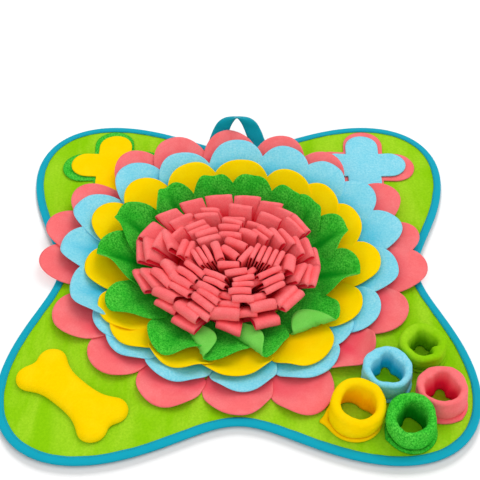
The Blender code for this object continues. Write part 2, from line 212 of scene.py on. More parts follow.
# fitted to the outline of the mat in the photograph
cameraLook = {"elevation": 46.888, "distance": 1.46758, "aim": (0.00214, 0.06367, 0.0),
              "focalPixels": 1041.51, "photoWidth": 480, "sensor": 36.0,
              "near": 0.05, "far": 50.0}


def makeCamera(look):
    lift = math.radians(look["elevation"])
    data = bpy.data.cameras.new("camera")
    data.sensor_width = look["sensor"]
    data.lens = look["focalPixels"] * look["sensor"] / look["photoWidth"]
    data.clip_start = look["near"]
    data.clip_end = look["far"]
    camera = bpy.data.objects.new("camera", data)
    back = Vector((0, -math.cos(lift), math.sin(lift)))
    camera.location = Vector(look["aim"]) + look["distance"] * back
    camera.rotation_euler = (math.pi / 2 - lift, 0, 0)
    bpy.context.scene.collection.objects.link(camera)
    bpy.context.scene.camera = camera


# Matt studio paper, in millimetres, an even sky and three suns, each with its strength, its
# width in degrees and where it comes from.
studioLook = {"floorHalf": 6000.0, "floorDrop": 0.6, "paper": "#d5d5d5", "roughness": 0.9,
              "sky": 0.74,
              "key": 0.95, "keySoftness": 38.0, "keyFrom": (0.45, 0.55, 1.0),
              "fill": 0.45, "fillSoftness": 50.0, "fillFrom": (-0.25, -1.0, 1.0),
              "low": 5.2, "lowSoftness": 17.0, "lowFrom": (0.0, 1.0, 0.384)}


def makeSun(look, name):
    # its strength is the one on a surface that faces it
    data = bpy.data.lights.new(name, "SUN")
    data.energy = look[name]
    data.angle = math.radians(look[name + "Softness"])
    sun = bpy.data.objects.new(name, data)
    sun.rotation_euler = Vector(look[name + "From"]).to_track_quat("Z", "Y").to_euler()
    bpy.context.scene.collection.objects.link(sun)
    return sun


def makeStudio(look):
    paper, _, shader = newMaterial("white paper", look["roughness"], 0.0)
    shader.inputs["Base Color"].default_value = linear(look["paper"])
    half = look["floorHalf"]
    corners = [(x, y, -look["floorDrop"])
               for x, y in ((-half, -half), (half, -half), (half, half), (-half, half))]
    floor = meshPiece("floor", corners, [(0, 1, 2, 3)], [paper])
    world = bpy.data.worlds.new("studio")
    world.use_nodes = True
    sky = world.node_tree.nodes["Background"]
    sky.inputs["Color"].default_value = (1.0, 1.0, 1.0, 1.0)
    sky.inputs["Strength"].default_value = look["sky"]
    bpy.context.scene.world = world
    makeSun(look, "key")
    makeSun(look, "fill")
    # the low sun from behind falls on the paper alone and gives the soft shadow before the mat
    low = makeSun(look, "low")
    onPaper = bpy.data.collections.new("paper alone")
    onPaper.objects.link(floor)
    low.light_linking.receiver_collection = onPaper
    low.light_linking.blocker_collection = edgeShadow
    bpy.context.scene.view_settings.view_transform = "Standard"
    bpy.context.scene.view_settings.look = "None"


edgeShadow = bpy.data.collections.new("casts the edge shadow")
makeCamera(cameraLook)
makeStudio(studioLook)
print("camera and studio ready")


# Polyester fleece, knitted and brushed: matt, with a fuzzy nap. base is the cloth, light its
# brushed patches, deep the dark tufts, shade the painted shade colour that folds, overlaps and
# hollows are tinted toward. nap, speck and patch are the sizes of fibre tufts, dark tufts and
# patches in millimetres, brush is how much longer a patch is from front to back. Real tufts are
# about 1 mm; they are drawn a little coarser, because finer ones don't show.
fleeceFinish = {"nap": 1.5, "napDepth": 0.5, "napStrength": 0.7, "speck": 1.8,
                "speckRange": (0.32, 0.68), "speckShare": 0.35, "patch": 30.0,
                "patchRange": (0.36, 0.66), "patchShare": 0.3, "brush": 1.0, "patchTurn": 38.0,
                "roughness": 0.95, "sheen": 0.05, "sheenRoughness": 0.45}
# what a single cloth has of its own
fleeceLooks = {
    "lime": {"name": "brushed lime fleece", "base": "#90cf10", "light": "#b2e232",
             "deep": "#74b806", "shade": "#62a003", "nap": 1.8, "napDepth": 0.9, "speck": 3.2,
             "patch": 45.0, "patchShare": 0.75, "brush": 3.0},
    "pink": {"name": "brushed pink fleece", "base": "#fb7476", "light": "#ff9698",
             "deep": "#ef5a60", "shade": "#ea2248", "nap": 1.6, "speck": 2.2,
             "speckShare": 0.3, "patchShare": 0.35},
    "strip": {"name": "brushed coral fleece strip", "base": "#ff7578", "light": "#ffa09e",
              "deep": "#ee4f58", "shade": "#fb2440", "speckShare": 0.4, "patch": 22.0},
    # a deeper, redder copy of the strip fleece: painted shade and painted red bounce light for the
    # folds' inner faces and the backing deep in the gaps
    "stripShadedCopy": {"name": "coral fleece strip, painted fold shade", "base": "#ff3048",
                    "light": "#ff4c5c", "deep": "#f41c36", "shade": "#fb2440",
                    "speckShare": 0.4, "patch": 22.0},
    "blue": {"name": "brushed sky blue fleece", "base": "#8fdcee", "light": "#b0e8f4",
             "deep": "#4cc4e0", "shade": "#18b4dc", "nap": 1.9, "napDepth": 0.9, "speck": 2.6,
             "speckShare": 0.5, "patch": 26.0, "patchShare": 0.4},
    "yellow": {"name": "brushed yellow fleece", "base": "#ffd602", "light": "#ffe41c",
               "deep": "#f8bd00", "shade": "#fcb400", "nap": 1.6, "napDepth": 0.45,
               "speck": 2.6, "speckShare": 0.22, "patch": 32.0},
    "green": {"name": "pebbled green fleece", "base": "#4cd93e", "light": "#7cf25a",
              "deep": "#129a1e", "shade": "#0c8c1a", "nap": 2.4, "napDepth": 2.4,
              "speck": 2.2, "speckShare": 0.9, "patchShare": 0.5},
    "greenBack": {"name": "smooth back of green fleece", "base": "#74d152",
                  "light": "#8fe06a", "deep": "#55bd3c", "shade": "#2f9a2c",
                  "napDepth": 0.4, "speck": 2.0, "patch": 20.0},
}


def makeFleece(own):
    look = fleeceFinish | own
    material, tree, shader = newMaterial(look["name"], look["roughness"], 0.0)
    place = addNode(tree, "ShaderNodeTexCoord").outputs["Object"]
    combed = addNode(tree, "ShaderNodeMapping",
                     {"Vector": place, "Scale": (1.0, 1.0 / look["brush"], 1.0),
                      "Rotation": (0.0, 0.0, math.radians(look["patchTurn"]))}).outputs["Vector"]
    patches = addNoise(tree, combed, 1 / (look["patch"] * mm), 4.0, 0.6, 0.4)
    patchTone = addTone(tree, patches, *look["patchRange"], look["patchShare"])
    cloth = addColours(tree, patchTone, linear(look["base"]), linear(look["light"]))
    tufts = addNoise(tree, place, 1 / (look["speck"] * mm), 3.0, 0.65)
    tuftTone = addTone(tree, tufts, *look["speckRange"], look["speckShare"])
    cloth = addColours(tree, tuftTone, cloth, linear(look["deep"]))
    # painted shade: the shade attribute tints the colour toward the shade colour in folds, under
    # overlaps and in hollows
    paintedShade = addNode(tree, "ShaderNodeAttribute", attribute_type="GEOMETRY",
                     attribute_name="shade").outputs["Fac"]
    cloth = addColours(tree, paintedShade, cloth, linear(look["shade"]))
    tree.links.new(cloth, shader.inputs["Base Color"])
    nap = addNoise(tree, place, 1 / (look["nap"] * mm), 4.0, 0.7)
    addBump(tree, shader, nap, look["napStrength"], look["napDepth"])
    shader.inputs["Sheen Weight"].default_value = look["sheen"]
    shader.inputs["Sheen Roughness"].default_value = look["sheenRoughness"]
    shader.inputs["Sheen Tint"].default_value = linear(look["base"])
    return material


# Polyester tape and webbing, woven: slightly glossy ribs across the width, in millimetres.
# The real ribs are about 0.6 mm apart and are drawn at 1.2 to 1.5 mm.
wovenFinish = {"gloss": 0.1, "crossShare": 0.8, "ribWander": 0.6, "crossWander": 0.3,
               "wear": 20.0, "ribStrength": 0.6}
wovenLooks = {
    "binding": {"name": "woven teal binding tape", "base": "#06a8c0", "deep": "#04869f",
                "rib": 1.2, "ribDepth": 0.18, "roughness": 0.62},
    "webbing": {"name": "woven teal webbing", "base": "#05a3b8", "deep": "#037b90",
                "rib": 1.5, "ribDepth": 0.3, "roughness": 0.6},
}
bandLength = 0.314          # a wave texture of scale 1 repeats after this length


def addBands(tree, place, direction, spacing, wander):
    return addNode(tree, "ShaderNodeTexWave",
                   {"Vector": place, "Scale": bandLength / spacing, "Distortion": wander},
                   bands_direction=direction, wave_profile="SIN").outputs["Fac"]


def makeWoven(own):
    # the pattern follows the UV map, which holds millimetres across and along the tape
    look = wovenFinish | own
    material, tree, shader = newMaterial(look["name"], look["roughness"], look["gloss"])
    place = addNode(tree, "ShaderNodeUVMap", uv_map="tape").outputs["UV"]
    ribs = addBands(tree, place, "Y", look["rib"], look["ribWander"])
    cross = addBands(tree, place, "X", look["rib"] * look["crossShare"], look["crossWander"])
    weave = addProduct(tree, ribs, cross)
    tone = addProduct(tree, weave, addNoise(tree, place, 1 / look["wear"], 3.0))
    cloth = addColours(tree, tone, linear(look["base"]), linear(look["deep"]))
    tree.links.new(cloth, shader.inputs["Base Color"])
    addBump(tree, shader, weave, look["ribStrength"], look["ribDepth"])
    return material


# spun polyester sewing thread: a soft gloss and a slight twist
threadLook = {"roughness": 0.6, "twistScale": 2200.0, "dark": 0.8}
threadColours = {"teal": "#0a9fb5", "yellow": "#e9b800", "green": "#1c9a26",
                 "pink": "#ee5f66", "blue": "#62c3d8", "lime": "#7fbd18"}


def makeThread(key):
    look = threadLook
    material, tree, shader = newMaterial(key + " sewing thread", look["roughness"])
    bright = linear(threadColours[key])
    dark = tuple(c * look["dark"] for c in bright[:3]) + (1.0,)
    place = addNode(tree, "ShaderNodeTexCoord").outputs["Object"]
    twist = addNoise(tree, place, look["twistScale"], 2.0)
    tree.links.new(addColours(tree, twist, bright, dark), shader.inputs["Base Color"])
    return material


fleece = {key: makeFleece(look) for key, look in fleeceLooks.items()}
woven = {key: makeWoven(look) for key, look in wovenLooks.items()}
thread = {key: makeThread(key) for key in threadColours}
print("materials ready")


stitchSizes = ("Pitch", "Stitch length", "Thread radius")


def makeStitchTree():
    # lays stitches along a line: each is a small bead of thread that lies lengthwise
    tree = bpy.data.node_groups.new("stitch line", "GeometryNodeTree")
    for way in ("INPUT", "OUTPUT"):
        tree.interface.new_socket("Geometry", in_out=way, socket_type="NodeSocketGeometry")
    for name in stitchSizes:
        tree.interface.new_socket(name, in_out="INPUT", socket_type="NodeSocketFloat")
    tree.interface.new_socket("Thread", in_out="INPUT", socket_type="NodeSocketMaterial")
    source = addNode(tree, "NodeGroupInput").outputs
    line = addNode(tree, "GeometryNodeMeshToCurve", {"Mesh": source["Geometry"]})
    spaced = addNode(tree, "GeometryNodeResampleCurve",
                     {"Curve": line.outputs["Curve"], "Length": source["Pitch"]}, mode="LENGTH")
    spots = addNode(tree, "GeometryNodeCurveToPoints", {"Curve": spaced.outputs["Curve"]},
                    mode="EVALUATED")
    bead = addNode(tree, "GeometryNodeMeshUVSphere", {"Segments": 6, "Rings": 5, "Radius": 1.0})
    halfLength = addProduct(tree, source["Stitch length"], 0.5)
    size = addNode(tree, "ShaderNodeCombineXYZ",
                   {"X": source["Thread radius"], "Y": source["Thread radius"],
                    "Z": halfLength})
    shaped = addNode(tree, "GeometryNodeTransform",
                     {"Geometry": bead.outputs["Mesh"], "Scale": size.outputs["Vector"]})
    align = addNode(tree, "FunctionNodeAlignEulerToVector",
                    {"Vector": spots.outputs["Tangent"]}, axis="Z")
    placed = addNode(tree, "GeometryNodeInstanceOnPoints",
                     {"Points": spots.outputs["Points"], "Instance": shaped.outputs["Geometry"],
                      "Rotation": align.outputs["Rotation"]})
    real = addNode(tree, "GeometryNodeRealizeInstances",
                   {"Geometry": placed.outputs["Instances"]})
    smooth = addNode(tree, "GeometryNodeSetShadeSmooth", {"Geometry": real.outputs["Geometry"]})
    coloured = addNode(tree, "GeometryNodeSetMaterial",
                       {"Geometry": smooth.outputs["Geometry"], "Material": source["Thread"]})
    addNode(tree, "NodeGroupOutput", {"Geometry": coloured.outputs["Geometry"]})
    return tree


stitchTree = makeStitchTree()


def sewLines(name, lines, closed, colour, slot, stitch):
    # lines are lists of points; stitch holds the pitch, length and thread radius. All of it is
    # in millimetres.
    points = []
    edges = []
    for line in lines:
        start = len(points)
        points.extend([(x * mm, y * mm, z * mm) for x, y, z in line])
        edges.extend([(start + i, start + i + 1) for i in range(len(line) - 1)])
        if closed:
            edges.append((start + len(line) - 1, start))
    mesh = bpy.data.meshes.new(name)
    mesh.from_pydata(points, edges, [])
    piece = bpy.data.objects.new(name, mesh)
    bpy.context.scene.collection.objects.link(piece)
    values = {size: value * mm for size, value in zip(stitchSizes, stitch)}
    values["Thread"] = thread[colour]
    sewing = piece.modifiers.new("stitches", "NODES")
    sewing.node_group = stitchTree
    for item in stitchTree.interface.items_tree:
        if item.in_out == "INPUT" and item.name in values:
            sewing[item.identifier] = values[item.name]
    applyModifiers(piece)
    dress(piece, slot)
    return piece


# The outline is a rounded four-lobed star: its mean radius, and its waves as how many there
# are round it and how deep they are. From puckerFrom to puckerFull, as shares of the radius,
# fine puckers take the place of the broad unevenness, and from sewnFrom on, under the
# binding, they fade.
panelLook = {"mean": 312.3, "waves": ((4, -68.4), (8, 2.0), (12, -0.2)), "thickness": 3.4,
             "middle": 2.0, "tuck": 2.6, "rings": 40, "ringPower": 0.8, "steps": 288,
             "uneven": 0.35, "unevenSize": 60, "pucker": 0.45, "puckerSize": 11,
             "puckerFrom": 0.84, "puckerFull": 0.965, "sewnFrom": 0.97}


def outlinePoint(angle, inset, z):
    radius = panelLook["mean"]
    slope = 0.0
    for waves, depth in panelLook["waves"]:
        radius += depth * math.cos(waves * angle)
        slope -= depth * waves * math.sin(waves * angle)
    outX = radius * math.cos(angle) + slope * math.sin(angle)
    outY = radius * math.sin(angle) - slope * math.cos(angle)
    length = math.hypot(outX, outY)
    return (radius * math.cos(angle) - inset * outX / length,
            radius * math.sin(angle) - inset * outY / length, z)


def outlineLength():
    ring = [outlinePoint(angle, 0.0, 0.0) for angle in fullTurn(360)]
    return sum(math.dist(ring[i - 1], ring[i]) for i in range(len(ring)))


def makePanel(look):
    rows = []
    for ring in range(look["rings"], 0, -1):
        share = (ring / look["rings"]) ** look["ringPower"]
        nearEdge = smoothStep(look["puckerFrom"], look["puckerFull"], share)
        puckered = nearEdge * (1 - smoothStep(look["sewnFrom"], 1.0, share))
        row = []
        for angle in fullTurn(look["steps"]):
            edgeX, edgeY, _ = outlinePoint(angle, look["tuck"], 0.0)
            x, y = edgeX * share, edgeY * share
            uneven = look["uneven"] * waver(x, y, 0, look["unevenSize"]) * (1 - nearEdge)
            uneven += look["pucker"] * waver(x, y, 7, look["puckerSize"]) * puckered
            row.append((x, y, look["middle"] + uneven))
        rows.append(row)
    points = []
    faces = []
    addGrid(points, faces, rows, closed=True)
    points.append((0.0, 0.0, look["middle"]))
    last = (look["rings"] - 1) * look["steps"]
    for i in range(look["steps"]):
        faces.append((last + i, last + (i + 1) % look["steps"], len(points) - 1))
    panel = meshPiece("fleecePanel", points, faces, [fleece["lime"]])
    thicken(panel, look["thickness"], softEdge=0.6)
    dress(panel, "lime_fleece", "base_panel")
    edgeShadow.objects.link(panel)


makePanel(panelLook)
print("panel ready")


def mapTape(piece, rows, closed=False):
    # a UV map in millimetres: U across the tape, V along it
    layer = piece.data.uv_layers.new(name="tape")
    count = len(rows[0])
    across = [0.0]
    for r in range(1, len(rows)):
        across.append(across[-1] + math.dist(rows[r][0], rows[r - 1][0]))
    along = [0.0]
    for c in range(1, count + 1):
        along.append(along[-1] + math.dist(rows[0][c % count], rows[0][c - 1]))
    face = 0
    for r in range(len(rows) - 1):
        for c in range(count if closed else count - 1):
            corners = ((r, c), (r, c + 1), (r + 1, c + 1), (r + 1, c))
            for loop, (row, column) in zip(piece.data.polygons[face].loop_indices, corners):
                layer.data[loop].uv = (across[row], along[column])
            face += 1


# The section holds (inset from the outline, height) of the folded tape, from its upper edge
# round the panel's edge to the lower one. Its upper leaf, above topZ, is a little uneven, and
# more so from freeFrom to its edge.
bindingLook = {"width": 11.0, "thickness": 1.05, "steps": 560, "topZ": 3.0, "freeFrom": 5.0,
               "section": ((11.0, 4.65), (8.5, 4.68), (5.5, 4.7), (2.8, 4.66), (1.3, 4.2),
                           (0.6, 3.3), (0.55, 2.2), (0.8, 1.3), (1.7, 0.72), (3.5, 0.56),
                           (7.0, 0.56), (11.0, 0.56)),
               "ease": 0.5, "easeSize": 16, "pucker": 0.28, "puckerSize": 7, "swell": 0.12,
               "swellSize": 12, "stitchInset": 8.9, "stitchZ": 5.32,
               "stitch": (3.6, 2.7, 0.32), "flatWidth": 26.5}


def makeBinding(look):
    rows = []
    for inset, z in look["section"]:
        upper = z > look["topZ"]
        free = smoothStep(look["freeFrom"], look["width"], inset) * upper
        row = []
        for angle in fullTurn(look["steps"]):
            x, y, _ = outlinePoint(angle, inset, z)
            ease = look["ease"] * waver(x, y, 3, look["easeSize"]) * free
            lift = look["pucker"] * waver(x, y, 31, look["puckerSize"]) * free
            lift += look["swell"] * waver(x, y, 11, look["swellSize"]) * upper
            row.append(outlinePoint(angle, inset + ease, z + lift))
        rows.append(row)
    binding = gridPiece("bindingTape", rows, [woven["binding"]], closed=True)
    mapTape(binding, rows, closed=True)
    thicken(binding, look["thickness"], softEdge=0.7)
    dress(binding, "teal_binding", "binding")
    ring = [outlinePoint(angle, look["stitchInset"], look["stitchZ"])
            for angle in fullTurn(look["steps"])]
    seam = sewLines("bindingStitches", [ring], True, "teal", "teal_binding", look["stitch"])
    outlineLength() * mm
    edgeShadow.objects.link(binding)


makeBinding(bindingLook)
print("binding ready")


# What all petals share. A range such as curls is where along the petal something begins and
# is full. layerStep and layerRun: how the rows below lift this one; skew and ripples: how
# uneven its outline and edge are; fine and pile: small and broad unevenness of the cloth;
# tile: how much each petal laps over the next; covered, creased and faded: where painted shade
# lies, under the next row and along a creased midline.
petalLook = {"fleece": 1.9, "seamZ": 5.1, "layerStep": 3.2, "layerRun": 24.0,
             "risePower": 1.3, "backPower": 1.6, "shoulder": 0.30, "roundness": 2.05,
             "columns": 26, "rows": 20, "sectionSteps": 8, "creaseWidth": 4.0, "tile": 1.5,
             "widens": (0, 0.6), "curls": (0.42, 1.0), "creases": (0.1, 0.7),
             "skew": (-0.06, 0.06), "ripples": 4.2, "rippled": (0.45, 1.0), "fine": 0.35,
             "fineSize": 14, "pile": 1.7, "pileSize": 32, "piled": (0.1, 0.6),
             "covered": (0.4, 0.8), "coveredMiddle": 0.7, "valley": 0.9, "valleyWidth": 0.13,
             "fullCrease": 40, "creased": (0.0, 0.25), "faded": (0.68, 1.0),
             "flatWidth": 84, "flatMargin": 8, "fullness": 1.78}
flowerCentre = (-8.0, 8.0)
# Each petal: angle round the flower, distance of its tip, half its width, and how far its
# clockwise and anticlockwise edges turn up in degrees. Where they aren't the usual ones, it
# also has how wavy its edge is in millimetres, how sharply its midline is creased in degrees
# and how far its tip is lifted in millimetres.
petalColumns = ("angle", "tip", "half", "turnLow", "turnHigh", "wave", "crease", "lift")
usualPetal = {"wave": 1.0, "crease": 0, "lift": 0}
pinkPetals = (
    (-156.5, 253, 44, 8, 20), (-135, 243, 42, 18, 20, 2.0), (-112, 246, 43, 30, 36, 1.5),
    (-88, 243, 44, 36, 40, 2.0), (-66.5, 261, 42, 40, 16, 2.5), (-44, 238, 41, 30, 62, 2.0, 14, 5),
    (-22, 246, 41, 10, 24, 0.6), (-2, 265, 41, 22, 10, 0.8), (11, 264, 35, 14, 14, 0.8),
    (29, 270, 41, 12, 16, 0.8), (54, 250, 41, 14, 14, 0.8), (71.5, 252, 41, 14, 10),
    (91, 251, 42, 12, 16), (111, 254, 43, 12, 12), (128, 260, 42, 16, 12), (150, 263, 41, 14, 16),
    (164, 270, 41, 12, 14), (179, 264, 39, 16, 12),
)
bluePetals = (
    (-165, 222, 48, 24, 26, 2.0, 14), (-148, 207, 38, 14, 12, 1.5), (-135, 210, 42, 24, 30, 2.0),
    (-112.5, 208, 45, 36, 40, 3.0), (-85.5, 211, 43, 42, 44, 2.5), (-59, 216, 47, 46, 30, 2.5),
    (-42, 195, 36, 14, 10, 2.0), (-26, 212, 41, 16, 16, 1.5), (-3.5, 225, 41, 22, 18, 1.0, 5),
    (16.5, 245, 40, 18, 18), (34, 240, 41, 14, 14), (50, 232, 41, 14, 14), (67.5, 230, 42, 16, 12),
    (88, 228, 43, 14, 16), (112, 216, 42, 14, 14), (132, 236, 42, 22, 16, 1.0, 4),
    (155, 244, 41, 22, 18, 1.0, 8), (173, 238, 41, 26, 20, 1.0, 12),
)
yellowPetals = (
    (-151, 195, 42, 18, 24, 2.0), (-138, 198, 43, 14, 14, 3.5), (-114, 191, 47, 46, 50, 5.0),
    (-88, 192, 47, 50, 54, 5.0), (-57, 200, 46, 52, 24, 3.5), (-27, 188, 39, 16, 16, 2.0),
    (0, 201, 40, 16, 20), (24, 193, 42, 18, 14), (42, 188, 40, 14, 14), (60, 182, 40, 14, 16),
    (86, 182, 43, 14, 16), (111, 187, 41, 16, 14), (136, 200, 41, 18, 14), (157, 212, 42, 18, 16),
    (-177, 200, 41, 18, 16),
)
greenPetals = (
    (-152, 184, 39, 40, 62, 1.5, 14), (-119, 182, 44, 40, 46, 4.0, 16),
    (-100, 172, 50, 6, 50, 3.0, 6), (-77, 172, 44, 6, 76, 2.0, 6), (-41, 173, 40, 6, 60, 2.0),
    (-9, 173, 39, 50, 30, 1.0, 38), (17, 165, 36, 40, 34, 1.0, 38),
    (38.5, 148, 34, 38, 36, 1.0, 28), (53, 143, 32, 36, 40, 1.0, 18, -1),
    (78, 145, 33, 34, 40, 1.0, 16, -2), (101.5, 145, 33, 38, 32, 1.0, 26, -2),
    (129, 153, 35, 40, 38, 1.0, 38, -1), (156, 177, 41, 50, 38, 1.0, 40),
    (178, 184, 42, 46, 38, 1.0, 40),
)
# A flap folded over a straight line: a point of the line (across and along the petal), the
# direction of the cloth that folds over it, the radius of the fold, how far it goes, how
# much longer than its petal's round outline the flap is and how far it slants to one side.
petalFlaps = {
    ("green", -100): {"at": (-14, 38), "toward": 150, "radius": 5.0, "turn": 172,
                      "longer": 1.5, "slant": 0.2},
    ("green", -77): {"at": (-7, 31), "toward": 154, "radius": 6.0, "turn": 172,
                     "longer": 1.25, "slant": 0.0},
    ("green", -41): {"at": (-12, 42), "toward": 124, "radius": 5.0, "turn": 166,
                     "longer": 2.6, "slant": -0.35},
}
# root: distance of the row's seam; tuck: cloth beyond it; tipFront and tipBack: heights of its
# tips at the mat's front and back; shade: how much painted shade it takes under the next row;
# rootShare: width at the seam, as a share of the petal's
petalRows = (
    {"cloth": "pink", "layer": 0, "root": 185, "tuck": 6, "tipFront": 7.5, "tipBack": 33,
     "shade": 0.6, "rootShare": 0.82, "petals": pinkPetals},
    {"cloth": "blue", "layer": 1, "root": 160, "tuck": 6, "tipFront": 11, "tipBack": 35,
     "shade": 0.8, "rootShare": 0.80, "petals": bluePetals},
    {"cloth": "yellow", "layer": 2, "root": 135, "tuck": 6, "tipFront": 14, "tipBack": 38,
     "shade": 0.6, "rootShare": 0.76, "petals": yellowPetals},
    {"cloth": "green", "layer": 3, "root": 112, "tuck": 16, "tipFront": 20, "tipBack": 45,
     "shade": 0.45, "rootShare": 0.6, "petals": greenPetals},
)


def rowHeight(row, angle, distance, length):
    look = petalLook
    towardBack = ((1 + math.sin(angle)) / 2) ** look["backPower"]
    tip = mixed(row["tipFront"], row["tipBack"], towardBack)
    layers = look["layerStep"] * min(row["layer"], max(distance, 0) / look["layerRun"])
    tipLayers = look["layerStep"] * min(row["layer"], length / look["layerRun"])
    share = max(distance, 0) / length
    rise = tip - look["seamZ"] - tipLayers
    return look["seamZ"] + layers + rise * share ** look["risePower"]


def foldFlap(flap, across, along):
    # moves a point of the flat petal over the fold line; also gives its height above the petal
    way = math.radians(flap["toward"])
    outX, outY = math.cos(way), math.sin(way)
    beyond = (across - flap["at"][0]) * outX + (along - flap["at"][1]) * outY
    if beyond <= 0:
        return across, along, 0.0
    across, along = across - outX * beyond, along - outY * beyond
    beyond *= flap["longer"]
    slanted = beyond * flap["slant"]
    full = math.radians(flap["turn"])
    turn = min(beyond / flap["radius"], full)
    straight = max(beyond - flap["radius"] * full, 0.0)
    run = flap["radius"] * math.sin(turn) + straight * math.cos(full)
    rise = flap["radius"] * (1 - math.cos(turn)) + straight * math.sin(full)
    return across + outY * slanted + outX * run, along - outX * slanted + outY * run, rise


def sectionPoint(side, half, turn, crease):
    # one side of a petal's cross section: how far across and up a point lies, and its slope
    steps = petalLook["sectionSteps"]
    across = up = slope = 0.0
    for k in range(steps):
        middle = (k + 0.5) / steps * side
        slope = math.radians(crease) * math.tanh(middle / petalLook["creaseWidth"])
        slope += math.radians(turn) * (middle / half)
        across += math.cos(slope) * side / steps
        up += math.sin(slope) * side / steps
    return across, up, slope


def flatPoint(row, petal, u, v, skew):
    # a point of the flat petal, across it and along it from its seam
    look = petalLook
    power = look["roundness"]
    rounded = (1 - min(abs(u + skew * (1 - u * u)), 1) ** power) ** (1 / power)
    reach = (petal["tip"] - row["root"]) * mixed(look["shoulder"], 1.0, rounded)
    across = u * petal["half"] * mixed(row["rootShare"], 1.0, smoothStep(*look["widens"], v))
    return across, mixed(-row["tuck"], reach, v)


def petalPoint(row, petal, u, v, skew, phase):
    look = petalLook
    across, along = flatPoint(row, petal, u, v, skew)
    raised = 0.0
    flap = petalFlaps.get((row["cloth"], petal["angle"]))
    if flap:
        across, along, raised = foldFlap(flap, across, along)
    length = petal["tip"] - row["root"]
    share = along / length
    turn = petal["turnHigh"] if across > 0 else petal["turnLow"]
    wide, up, slope = sectionPoint(abs(across), petal["half"],
                                   turn * smoothStep(*look["curls"], share),
                                   petal["crease"] * smoothStep(*look["creases"], share))
    wide = math.copysign(wide - raised * math.sin(slope), across)
    up += raised * math.cos(slope)
    ripple = (1 + math.sin(u * look["ripples"] + phase)) / 2
    up += petal["wave"] * ripple * smoothStep(*look["rippled"], share)
    up += look["tile"] * u + petal["lift"] * share ** 2
    middle = math.radians(petal["angle"])
    out = row["root"] + along
    x = flowerCentre[0] + out * math.cos(middle) - wide * math.sin(middle)
    y = flowerCentre[1] + out * math.sin(middle) + wide * math.cos(middle)
    z = rowHeight(row, middle, along, length) + up
    z += look["fine"] * waver(x, y, row["layer"] * 50, look["fineSize"])
    z += look["pile"] * waver(x, y, 7, look["pileSize"]) * smoothStep(*look["piled"], share)
    return x, y, z


def petalGrid(row, petal, chance):
    look = petalLook
    phase = chance.uniform(0, 2 * math.pi)
    skew = chance.uniform(*look["skew"])
    across = [math.sin(math.pi / 2 * (2 * j / look["columns"] - 1))
              for j in range(look["columns"], -1, -1)]
    return [[petalPoint(row, petal, u, k / look["rows"], skew, phase) for u in across]
            for k in range(look["rows"] + 1)]


def petalShade(row, petal):
    # painted shade: deepest where the next row of petals covers this one, and along a creased
    # midline
    look = petalLook
    values = []
    for k in range(look["rows"] + 1):
        v = k / look["rows"]
        hidden = row["shade"] * (1 - smoothStep(*look["covered"], v))
        creased = petal["crease"] / look["fullCrease"] * smoothStep(*look["creased"], v)
        creased *= 1 - smoothStep(*look["faded"], v)
        for j in range(look["columns"] + 1):
            side = abs(2 * j / look["columns"] - 1)
            valley = look["valley"] * creased * math.exp(-(side / look["valleyWidth"]) ** 2)
            values.append(min(hidden * mixed(look["coveredMiddle"], 1.0, side) + valley, 1.0))
    return values


def makePetalRow(row):
    look = petalLook
    chance = random.Random(row["root"])
    petals = [usualPetal | dict(zip(petalColumns, values)) for values in row["petals"]]
    points = []
    faces = []
    shade = []
    for petal in petals:
        addGrid(points, faces, petalGrid(row, petal, chance))
        shade.extend(petalShade(row, petal))
    cloth = row["cloth"]
    back = fleece.get(cloth + "Back", fleece[cloth])
    piece = meshPiece(cloth + "Petals", points, faces, [fleece[cloth], back])
    paintShade(piece, shade)
    thicken(piece, look["fleece"], backMaterial=1, softEdge=0.55)
    dress(piece, cloth + "_fleece", "petals_" + cloth)
    print(piece.name, "ready")


for petalRow in petalRows:
    makePetalRow(petalRow)


# Strips are folded over double and sewn by their ends to a round backing. Their roots stand
# rootShare as far from rootCentre as their crests from crestCentre; bow: how soon a strip
# leans outwards; rootGap: half the hollow at its root; opened: where along it the fold opens;
# crown: height of the fold's round, as a share of its half width; loose: the heights over
# which the cloth gets uneven; sag: how far the ends of a crest hang.
clusterLook = {"rootCentre": (-11.0, 2.0), "crestCentre": (-15.0, -5.0), "rootShare": 0.74,
               "rootZ": 6.0, "fleece": 2.2, "across": 7, "along": 8, "bow": 1.6,
               "rootGap": 1.4, "opened": (0.0, 0.9), "crown": 0.8, "loose": (10, 34),
               "uneven": (0.7, 0.5, 0.6), "unevenSize": 13, "seed": 11,
               "headingChance": (-2.5, 2.5), "heightChance": (-0.8, 0.8),
               "widthChance": (0.97, 1.03), "sag": (0.3, 1.6), "crestDrop": 0.6,
               "shade": (24, 49), "shadeSlope": 0.10, "flat": (33, 115),
               "backing": 93.0, "backingZ": 5.4, "backingSteps": 96,
               "backingRings": (1.0, 0.97, 0.8, 0.6, 0.4, 0.2)}
